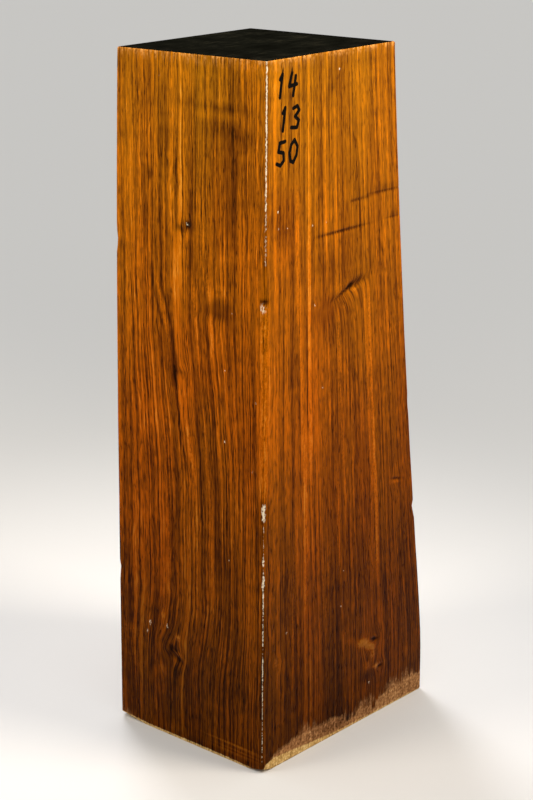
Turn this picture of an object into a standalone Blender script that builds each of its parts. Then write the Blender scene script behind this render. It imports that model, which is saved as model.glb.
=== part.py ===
# A walnut wood blank: one squared length of walnut, sawn from the flared butt of a log.
#
# Metres, +Z up. The origin lies on the floor under the middle of the blank's box.
# The front face looks along -Y and the left face along -X. Both are sawn flat and plumb, and meet
# in the near arris. The right face follows the swell of the butt. The back face leans in a little.

import math

import bmesh
import bpy
from mathutils import Vector

MM = 0.001
INCH = 25.4 * MM

# Driving dimensions of the blank
HEIGHT = 19.5 * INCH  # up the near arris, from saw cut to saw cut
FOOT_WIDTH = 184.6 * MM  # left to right across the plumb foot
TOP_WIDTH_FRONT = 131.5 * MM  # left to right at the top of the front face
TOP_WIDTH_BACK = 134.6 * MM  # the same at the top of the back face
FOOT_DEPTH = 138.8 * MM  # front to back at the foot
TOP_DEPTH = 133.0 * MM  # front to back at the top

# The swell of the butt: plumb up to the foot's height, then leaning in, fastest low down
FOOT_HEIGHT = 46 * MM
FOOT_EASE = 22 * MM  # height over which the plumb foot turns into the lean
SWELL_CURVE = 0.31  # 0 leans in evenly, more leans in sooner
BACK_LEAN_POWER = 3  # the back face stays plumb low down and leans in near the top

# The top saw cut is a little out of square
TOP_RISE_TO_RIGHT = 1.7 / 130
TOP_FALL_TO_BACK = 1.7 / 132

# Arrises: the radius each of the four upright edges is eased to
PLAIN_ARRIS = 0.9 * MM
NEAR_ARRIS = (  # height up the near arris, radius there
    (0 * MM, 1.6 * MM),
    (150 * MM, 1.5 * MM),
    (215 * MM, 2.8 * MM),
    (325 * MM, 3.2 * MM),
    (375 * MM, 1.4 * MM),
    (HEIGHT, 0.9 * MM),
)
END_ARRIS = 0.7 * MM  # chamfer round both sawn ends

# Knocks in the arrises: height of the middle, length, extra radius at the deepest
NEAR_NICKS = (
    (341 * MM, 13 * MM, 1.6 * MM),
    (193 * MM, 17 * MM, 2.6 * MM),
    (160 * MM, 8 * MM, 1.4 * MM),
    (139 * MM, 15 * MM, 2.0 * MM),
    (98 * MM, 70 * MM, 1.1 * MM),
)
FRONT_RIGHT_NICKS = ((153 * MM, 12 * MM, 3.0 * MM), (236 * MM, 9 * MM, 1.0 * MM))
BACK_RIGHT_NICKS = ((268 * MM, 20 * MM, 2.4 * MM), (71 * MM, 14 * MM, 2.2 * MM))
BACK_LEFT_NICKS = ((362 * MM, 15 * MM, 2.0 * MM), (118 * MM, 11 * MM, 1.8 * MM))

# Worn corners of the foot: how far the wear reaches up the arris, across the blank, and along its left face
NEAR_CORNER_WEAR = (3.4 * MM, 11 * MM, 14 * MM)
BACK_LEFT_CORNER_WEAR = (3.4 * MM, 9 * MM, 28 * MM)

# Fineness
STATION_STEP = 12 * MM  # plain distance from one cross-section to the next
NICK_STATIONS = 6  # cross-sections along one nick
ARC_SEGMENTS = 4  # facets round one arris
SMOOTH_ANGLE = math.radians(35)

LEFT = -FOOT_WIDTH / 2
FRONT = -FOOT_DEPTH / 2


def height_above_foot(z):
    """Height over the plumb foot, turning smoothly from zero where the lean starts."""
    above = z - FOOT_HEIGHT
    return (above + math.hypot(above, FOOT_EASE)) / 2


def swell(z):
    """Share of the swell at a height: 1 at the floor, 0 at the top."""
    lowest = height_above_foot(0)
    share = (height_above_foot(z) - lowest) / (height_above_foot(HEIGHT) - lowest)
    return 1 - (1 + SWELL_CURVE) * share + SWELL_CURVE * share * share


def right_at(z, top_width):
    return LEFT + top_width + (FOOT_WIDTH - top_width) * swell(z)


def back_at(z):
    lean = (FOOT_DEPTH - TOP_DEPTH) * (max(z, 0) / HEIGHT) ** BACK_LEAN_POWER
    return FRONT + FOOT_DEPTH - lean


def eased_between(points, z):
    """Value at a height, turning smoothly from one (height, value) to the next."""
    for (low, first), (high, second) in zip(points, points[1:]):
        if z <= high:
            share = max(z - low, 0) / (high - low)
            return first + (second - first) * (1 - math.cos(math.pi * share)) / 2
    return points[-1][1]


def nick_depth(nicks, z):
    """Extra radius that the knocks in an arris give it at a height."""
    extra = 0
    for middle, length, depth in nicks:
        reach = abs(z - middle) / (length / 2)
        if reach < 1:
            extra += depth * (1 - reach**2)
    return extra


def near_radius(z):
    return eased_between(NEAR_ARRIS, z) + nick_depth(NEAR_NICKS, z)


def corners_at(z):
    """The four corners of a cross-section, anticlockwise from the near arris, with their radii."""
    return (
        (Vector((LEFT, FRONT)), near_radius(z)),
        (
            Vector((right_at(z, TOP_WIDTH_FRONT), FRONT)),
            PLAIN_ARRIS + nick_depth(FRONT_RIGHT_NICKS, z),
        ),
        (
            Vector((right_at(z, TOP_WIDTH_BACK), back_at(z))),
            PLAIN_ARRIS + nick_depth(BACK_RIGHT_NICKS, z),
        ),
        (Vector((LEFT, back_at(z))), PLAIN_ARRIS + nick_depth(BACK_LEFT_NICKS, z)),
    )


def outline_at(z, inset=0.0):
    """Points round a cross-section, with an arc at each corner, drawn in by the inset."""
    corners = corners_at(z)
    centre = sum((place for place, _ in corners), Vector((0, 0))) / len(corners)
    points = []
    for index, (place, radius) in enumerate(corners):
        before = (corners[index - 1][0] - place).normalized()
        after = (corners[(index + 1) % len(corners)][0] - place).normalized()
        half = before.angle(after) / 2
        inward = (before + after).normalized()
        middle = place + inward * radius / math.sin(half)
        start = (place + before * radius / math.tan(half)) - middle
        turn = math.pi - 2 * half
        for step in range(ARC_SEGMENTS + 1):
            angle = turn * step / ARC_SEGMENTS
            arm = Vector(
                (
                    start.x * math.cos(angle) - start.y * math.sin(angle),
                    start.x * math.sin(angle) + start.y * math.cos(angle),
                )
            )
            points.append(middle + arm)
    return [point + (centre - point).normalized() * inset for point in points]


def top_cut(point):
    """Height of the top saw cut over a point of the plan."""
    rise = (point.x - LEFT) * TOP_RISE_TO_RIGHT
    fall = (point.y - FRONT) * TOP_FALL_TO_BACK
    return HEIGHT + rise - fall


def station_heights():
    """Heights of the cross-sections between the two ends, closer together at each nick."""
    low = END_ARRIS
    high = HEIGHT - STATION_STEP
    count = round((high - low) / STATION_STEP)
    heights = {low + (high - low) * index / count for index in range(count + 1)}
    for nicks in (NEAR_NICKS, FRONT_RIGHT_NICKS, BACK_RIGHT_NICKS, BACK_LEFT_NICKS):
        for middle, length, _ in nicks:
            for index in range(NICK_STATIONS + 1):
                heights.add(middle + length * (index / NICK_STATIONS - 0.5))
    kept = []
    for height in sorted(heights):
        if not kept or height - kept[-1] > MM:
            kept.append(height)
    return kept


def add_ring(mesh, points, height_of):
    """A closed ring of edges at the given points of the plan."""
    verts = [mesh.verts.new((point.x, point.y, height_of(point))) for point in points]
    return [
        mesh.edges.new((vert, verts[(index + 1) % len(verts)]))
        for index, vert in enumerate(verts)
    ]


def fill_ring(mesh, edges):
    bmesh.ops.contextual_create(mesh, geom=edges)


def loft_blank(mesh):
    """The squared blank: rings from the base to the top cut, bridged and capped."""
    rings = [add_ring(mesh, outline_at(0, END_ARRIS), lambda point: 0.0)]
    for height in station_heights():
        rings.append(add_ring(mesh, outline_at(height), lambda point, z=height: z))
    rings.append(
        add_ring(mesh, outline_at(HEIGHT), lambda point: top_cut(point) - END_ARRIS)
    )
    rings.append(add_ring(mesh, outline_at(HEIGHT, END_ARRIS), top_cut))
    for lower, upper in zip(rings, rings[1:]):
        bmesh.ops.bridge_loops(mesh, edges=lower + upper)
    fill_ring(mesh, rings[0])
    fill_ring(mesh, rings[-1])


def wear_corner(mesh, corner, wear):
    """Slices a worn corner off the foot, on a plane that meets its three edges."""
    up, across, along = wear
    inward = 1 if corner.y < 0 else -1
    on_arris = corner + Vector((0, 0, up))
    on_end = corner + Vector((across, 0, 0))
    on_left = corner + Vector((0, inward * along, 0))
    normal = (on_end - on_arris).cross(on_left - on_arris).normalized()
    if normal.z > 0:
        normal.negate()
    cut = bmesh.ops.bisect_plane(
        mesh,
        geom=mesh.verts[:] + mesh.edges[:] + mesh.faces[:],
        plane_co=on_arris,
        plane_no=normal,
        clear_outer=True,
    )
    edges = [item for item in cut["geom_cut"] if isinstance(item, bmesh.types.BMEdge)]
    fill_ring(mesh, edges)


def principled(name, colour, roughness):
    material = bpy.data.materials.new(name)
    material.use_nodes = True
    shader = material.node_tree.nodes["Principled BSDF"]
    shader.inputs["Base Color"].default_value = (*colour, 1)
    shader.inputs["Roughness"].default_value = roughness
    shader.inputs["Metallic"].default_value = 0
    return material


def make_walnut_blank():
    mesh = bmesh.new()
    loft_blank(mesh)
    wear_corner(mesh, Vector((LEFT, FRONT, 0)), NEAR_CORNER_WEAR)
    wear_corner(mesh, Vector((LEFT, back_at(0), 0)), BACK_LEFT_CORNER_WEAR)
    bmesh.ops.recalc_face_normals(mesh, faces=mesh.faces)

    data = bpy.data.meshes.new("walnut_blank")
    mesh.to_mesh(data)
    mesh.free()
    data.materials.append(principled("oiled walnut", (0.24, 0.085, 0.022), 0.42))
    data.materials.append(principled("sealed end grain", (0.012, 0.011, 0.008), 0.5))
    for face in data.polygons:
        if face.normal.z > 0.9:
            face.material_index = 1
    data.shade_smooth()
    data.set_sharp_from_angle(angle=SMOOTH_ANGLE)

    blank = bpy.data.objects.new("walnut_blank", data)
    bpy.context.scene.collection.objects.link(blank)
    return blank


def clear_scene():
    for thing in list(bpy.data.objects):
        bpy.data.objects.remove(thing, do_unlink=True)


clear_scene()
make_walnut_blank()
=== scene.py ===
# Looks of a walnut wood blank: one squared length of oiled walnut,
# with a flared foot and a sealed top end.
import math

import bmesh
import bpy
import numpy as np
from mathutils import Matrix, Vector


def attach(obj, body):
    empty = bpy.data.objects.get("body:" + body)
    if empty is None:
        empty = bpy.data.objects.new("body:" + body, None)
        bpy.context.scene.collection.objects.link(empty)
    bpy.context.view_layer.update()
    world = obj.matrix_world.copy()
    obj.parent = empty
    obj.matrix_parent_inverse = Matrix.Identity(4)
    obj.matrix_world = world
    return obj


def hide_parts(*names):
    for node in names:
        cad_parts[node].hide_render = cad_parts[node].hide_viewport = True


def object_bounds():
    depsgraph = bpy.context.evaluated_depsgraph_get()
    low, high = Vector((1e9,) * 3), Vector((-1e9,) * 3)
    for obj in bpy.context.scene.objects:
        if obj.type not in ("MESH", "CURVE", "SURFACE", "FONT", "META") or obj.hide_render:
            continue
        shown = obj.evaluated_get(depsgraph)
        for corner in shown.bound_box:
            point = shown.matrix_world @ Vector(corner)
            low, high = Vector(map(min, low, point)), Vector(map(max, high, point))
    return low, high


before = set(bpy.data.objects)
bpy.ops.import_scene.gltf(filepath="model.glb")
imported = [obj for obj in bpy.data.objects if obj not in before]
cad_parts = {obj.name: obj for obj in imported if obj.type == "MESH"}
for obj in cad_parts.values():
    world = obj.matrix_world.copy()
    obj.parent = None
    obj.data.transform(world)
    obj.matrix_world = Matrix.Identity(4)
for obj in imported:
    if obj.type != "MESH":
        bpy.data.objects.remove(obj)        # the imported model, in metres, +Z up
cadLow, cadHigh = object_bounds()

mm = 0.001
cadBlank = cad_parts["walnut_blank"]
leftPlane = cadLow.x  # the left face, sawn flat and plumb
frontPlane = cadLow.y  # the front face, also plumb; the two meet in the near arris
boxSize = cadHigh - cadLow


# Camera, light and floor
viewOfBlank = {
    "place": (-0.99905, -0.8588, 0.6465),
    "azimuth": -49.017,  # degrees round from the front face, towards the left one
    "elevation": 17.201,
    "roll": 0.419,
    "lens": 86.1,
    "sensor": 36.0,
    "clipStart": 0.05,
}

studioLook = {
    "floorAcross": 40.0,
    "floorColour": "#D2D0CC",
    "floorRoughness": 0.95,
    "floorSpecular": 0.1,
    "airColour": "#F2F3F4",  # pale studio all round, as bright as the lit floor
    "airStrength": 0.62,
    "ceilingStrength": 1.06,  # a wide soft light from straight above, so that the floor is even
    "ceilingSpread": 60.0,
    "softboxSpread": 62.0,  # degrees, as a cloth grid on each softbox narrows it
    # name: place, point it faces, width and height, watts, colour
    "keyLight": ((0.22, -0.66, 0.98), (-0.03, -0.07, 0.50), (0.4, 0.4), 1.9, "#FFF3E4"),
    "leftLight": ((-0.78, 0.3, 0.90), (-0.09, 0.0, 0.46), (0.4, 0.4), 1.05, "#FFF3E4"),
    "backLight": ((0.55, 0.95, 1.05), (0.0, 0.0, 0.45), (0.5, 0.5), 2.8, "#F4F6FF"),
}


def linear(hexColour):
    # an sRGB hex colour as the linear values that Blender works in
    values = [int(hexColour[i : i + 2], 16) / 255 for i in (1, 3, 5)]
    return [v / 12.92 if v <= 0.04045 else ((v + 0.055) / 1.055) ** 2.4 for v in values]


def rgba(hexColour):
    return (*linear(hexColour), 1.0)


def addNode(tree, kind, sockets=None, out=0, stops=(), **settings):
    # adds one node with its settings, fills its sockets with a value or a link, and gives one output
    made = tree.nodes.new(kind)
    for name, value in settings.items():
        setattr(made, name, value)
    for name, value in (sockets or {}).items():
        if isinstance(value, bpy.types.NodeSocket):
            tree.links.new(value, made.inputs[name])
        else:
            made.inputs[name].default_value = value
    for number in range(2, len(stops)):
        made.color_ramp.elements.new(1.0)
    for number, (position, colour) in enumerate(stops):
        made.color_ramp.elements[number].position = position
        made.color_ramp.elements[number].color = colour
    return made.outputs[out]


def newMaterial(name):
    material = bpy.data.materials.new(name)
    material.use_nodes = True
    return material, material.node_tree, material.node_tree.nodes["Principled BSDF"]


def addCamera():
    turn = (
        Matrix.Rotation(math.radians(viewOfBlank["azimuth"]), 3, "Z")
        @ Matrix.Rotation(math.radians(90 - viewOfBlank["elevation"]), 3, "X")
        @ Matrix.Rotation(math.radians(viewOfBlank["roll"]), 3, "Z")
    )
    bpy.ops.object.camera_add(location=viewOfBlank["place"], rotation=turn.to_euler())
    camera = bpy.context.object
    camera.name = "cameraAtNearArris"
    camera.data.lens = viewOfBlank["lens"]
    camera.data.sensor_width = viewOfBlank["sensor"]
    camera.data.clip_start = viewOfBlank["clipStart"]
    bpy.context.scene.camera = camera


def addStudio():
    for name, value in studioLook.items():
        if not name.endswith("Light"):
            continue
        place, target, size, watts, colour = value
        aim = (Vector(target) - Vector(place)).to_track_quat("-Z", "Y").to_euler()
        bpy.ops.object.light_add(type="AREA", location=place, rotation=aim)
        light = bpy.context.object
        light.name = name
        light.data.shape = "RECTANGLE"
        light.data.size, light.data.size_y = size
        light.data.energy = watts
        light.data.spread = math.radians(studioLook["softboxSpread"])
        light.data.color = linear(colour)
        light.visible_camera = False

    bpy.ops.object.light_add(type="SUN", location=(0, 0, 3))
    ceiling = bpy.context.object
    ceiling.name = "ceilingLight"
    ceiling.data.energy = studioLook["ceilingStrength"]
    ceiling.data.angle = math.radians(studioLook["ceilingSpread"])

    sky = bpy.data.worlds.new("paleStudioAir")
    sky.use_nodes = True
    air = sky.node_tree.nodes["Background"]
    air.inputs["Color"].default_value = rgba(studioLook["airColour"])
    air.inputs["Strength"].default_value = studioLook["airStrength"]
    bpy.context.scene.world = sky

    bpy.ops.mesh.primitive_plane_add(size=studioLook["floorAcross"])
    floor = bpy.context.object
    floor.name = "floor"
    # Painted studio floor: rolled matt emulsion, so it is even and pale with no gloss
    material, _, shader = newMaterial("mattFloorPaint")
    shader.inputs["Base Color"].default_value = rgba(studioLook["floorColour"])
    shader.inputs["Roughness"].default_value = studioLook["floorRoughness"]
    shader.inputs["Specular IOR Level"].default_value = studioLook["floorSpecular"]
    floor.data.materials.append(material)
    bpy.context.scene.view_settings.view_transform = "Standard"  # keeps the saturated orange of the oil
    print("stage, light and camera are in place")


# The blank's fine mesh
blankMesh = {
    "rows": 99,  # cuts up the blank, about 5 mm apart
    "frontColumns": 51,  # cuts across the front face, halved once more
    "leftColumns": 39,
    # where the CAD solid is measured: mm in from the left face, from the other arrises and from each end
    "probes": (60.0, 8.0, 6.0),
    "topProbe": 3.0,  # mm in from each corner of the top saw cut
    "finerBeside": 5.0,  # mm beside each arris and above the foot where the grid is cut finer
    "finerBelowTop": 7.0,
    "arrisCuts": 2,
    "endCuts": 4,
    # marks that need a finer grid, in the order in which they are cut:
    # face, mm across from and to, mm up from and to, cuts up and across
    "finerPlaces": (
        ("front", 6, 40, 420, 488, 7, 2),  # the marker numbers
        ("front", 66, 112, 310, 352, 3, 1),  # knots on the front face
        ("front", 136, 156, 172, 188, 5, 1),
        ("front", 100, 145, 25, 75, 3, 1),
        ("front", 0, 186, 4, 27, 3, 0),  # ragged top of the bare foot
        ("front", 0, 5, 20, 490, 3, 0),  # the near arris
        ("left", 0, 5, 20, 490, 3, 0),
        ("front", 50, 144, 374, 379, 6, 0),  # cross-grain marks
        ("front", 86, 144, 393.5, 398.5, 6, 0),
        ("left", 20, 60, 305, 348, 3, 1),  # knots on the left face
        ("left", 66, 100, 45, 95, 3, 1),
        ("left", 60, 82, 370, 390, 3, 1),
        ("left", 0, 140, 3, 16, 3, 0),  # splinters along the foot
    ),
    "roundFlecks": (2.0, 2.5, 5, 1),  # the same round each fleck: mm aside, mm up and down, cuts
    "fineEnough": 2.0,  # mm, as an upright edge this short isn't cut again for a mark
    "smoothAngle": 40.0,
}


def pick(kind, test):
    # in edit mode, selects the vertices, edges or faces that pass the test, and no others
    bpy.ops.mesh.select_mode(type=kind)
    bpy.ops.mesh.select_all(action="DESELECT")
    mesh = bmesh.from_edit_mesh(bpy.context.edit_object.data)
    parts = {"VERT": mesh.verts, "EDGE": mesh.edges, "FACE": mesh.faces}[kind]
    for part in parts:
        if test(part):
            part.select_set(True)
    mesh.select_flush_mode()
    bmesh.update_edit_mesh(bpy.context.edit_object.data)


def runsAlong(edge, axis):
    span = edge.verts[1].co - edge.verts[0].co
    return abs(span[axis]) > 0.9 * span.length


def middleOf(edge):
    return (edge.verts[0].co + edge.verts[1].co) / 2


def cadReach(start, direction):
    # the point of the CAD solid that a ray first meets
    return cadBlank.ray_cast(Vector(start), Vector(direction))[1]


def ease(value, start, end):
    share = np.clip((value - start) / (end - start), 0, 1)
    return share * share * (3 - 2 * share)


def shapeRings():
    # while the mesh is only rings of four corners, each ring is drawn in to the CAD solid's swell
    measured = []
    fromLeft, fromArris, fromEnd = (reach * mm for reach in blankMesh["probes"])
    for row in range(blankMesh["rows"] + 2):
        height = boxSize.z * row / (blankMesh["rows"] + 1)
        probe = min(max(height, fromEnd), boxSize.z - fromEnd)
        back = cadReach((leftPlane + fromLeft, 1, probe), (0, -1, 0)).y
        rightFront = cadReach((1, frontPlane + fromArris, probe), (-1, 0, 0)).x
        rightBack = cadReach((1, back - fromArris, probe), (-1, 0, 0)).x
        measured.append((height, rightFront - leftPlane, back - frontPlane))
        for right, atBack in ((rightFront, False), (rightBack, True)):
            pick("VERT", lambda v: abs(v.co.z - height) < mm and (v.co.y > 0) == atBack)
            bpy.ops.transform.resize(
                value=((right - leftPlane) / boxSize.x, 1, 1),
                center_override=(leftPlane, 0, height),
            )
        pick("VERT", lambda v: abs(v.co.z - height) < mm)
        bpy.ops.transform.resize(
            value=(1, (back - frontPlane) / boxSize.y, 1),
            center_override=(0, frontPlane, height),
        )
    return np.array(measured)


def tiltTopCut():
    # each top corner is lowered onto the saw cut, which is a little out of square
    verts = bmesh.from_edit_mesh(bpy.context.edit_object.data).verts
    corners = [v.co.copy() for v in verts if v.co.z > boxSize.z - mm]
    middle = sum(corners, Vector()) / len(corners)
    for corner in corners:
        inner = corner + (middle - corner).normalized() * blankMesh["topProbe"] * mm
        drop = cadReach((inner.x, inner.y, 1), (0, 0, -1)).z - corner.z
        pick("VERT", lambda v: (v.co - corner).length < mm / 10)
        bpy.ops.transform.translate(value=(0, 0, drop))


def makeFineBlank():
    bpy.ops.object.select_all(action="DESELECT")
    bpy.ops.mesh.primitive_cube_add(size=1, location=(cadLow + cadHigh) / 2, scale=boxSize)
    blank = bpy.context.object
    blank.name = "walnutBlank"
    bpy.ops.object.transform_apply(location=True, rotation=True, scale=True)
    bpy.ops.object.mode_set(mode="EDIT")

    pick("EDGE", lambda e: runsAlong(e, 2))
    bpy.ops.mesh.subdivide(number_cuts=blankMesh["rows"])
    rings = shapeRings()
    tiltTopCut()

    for axis, columns in ((0, blankMesh["frontColumns"]), (1, blankMesh["leftColumns"])):
        for cuts in (columns, 1):
            pick("EDGE", lambda e: runsAlong(e, axis))
            bpy.ops.mesh.subdivide(number_cuts=cuts)
    print("blank: drawn to its swell and cut into a grid")
    return blank, rings


def cutFinerBesideArrises(rings):
    # whole rows and columns beside the arrises and saw cuts are cut finer
    beside = blankMesh["finerBeside"] * mm
    belowTop = boxSize.z - blankMesh["finerBelowTop"] * mm
    heights, widths, depths = rings.T

    def besideArris(edge, axis):
        place = middleOf(edge)
        low = leftPlane if axis == 0 else frontPlane
        span = np.interp(place.z, heights, widths if axis == 0 else depths)
        share = (place[axis] - low) / span
        margin = beside / boxSize[axis]
        return share < margin or share > 1 - margin

    for axis in (0, 1):
        pick("EDGE", lambda e: runsAlong(e, axis) and besideArris(e, axis))
        bpy.ops.mesh.subdivide(number_cuts=blankMesh["arrisCuts"])
    pick("EDGE", lambda e: runsAlong(e, 2) and not beside < middleOf(e).z < belowTop)
    bpy.ops.mesh.subdivide(number_cuts=blankMesh["endCuts"])


def cutFinerAtMarks():
    places = list(blankMesh["finerPlaces"])
    aside, above, *cuts = blankMesh["roundFlecks"]
    fineEnough = blankMesh["fineEnough"] * mm
    for face, across, up, _, halfHeight in rowsOf(wearAndGlints["flecks"]):
        alreadyFine = any(
            face == place[0] and place[1] <= across <= place[2] and place[3] <= up <= place[4]
            for place in blankMesh["finerPlaces"]
        )
        if not alreadyFine:
            low, high = up - halfHeight - above, up + halfHeight + above
            places.append((face, across - aside, across + aside, low, high, *cuts))
    for face, acrossFrom, acrossTo, upFrom, upTo, cutsUp, cutsAcross in places:
        along = 0 if face == "front" else 1
        off = 1 - along
        start = leftPlane if along == 0 else frontPlane
        plane = frontPlane if along == 0 else leftPlane

        def inside(edge):
            place = middleOf(edge)
            return (
                abs(place[off] - plane) < mm / 5
                and acrossFrom <= (place[along] - start) / mm <= acrossTo
                and upFrom <= place.z / mm <= upTo
            )

        pick("EDGE", lambda e: runsAlong(e, 2) and inside(e) and e.calc_length() > fineEnough)
        bpy.ops.mesh.subdivide(number_cuts=cutsUp)
        if cutsAcross:
            pick("EDGE", lambda e: runsAlong(e, along) and inside(e))
            bpy.ops.mesh.subdivide(number_cuts=cutsAcross)


def applyAll(blank):
    for modifier in list(blank.modifiers):
        bpy.ops.object.modifier_apply(modifier=modifier.name)


def wrapOntoSolid(blank):
    # every point is laid on the CAD solid, which has the eased and nicked arrises
    wrap = blank.modifiers.new("onto the solid", "SHRINKWRAP")
    wrap.target = cadBlank
    wrap.wrap_method = "NEAREST_SURFACEPOINT"
    applyAll(blank)


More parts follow.
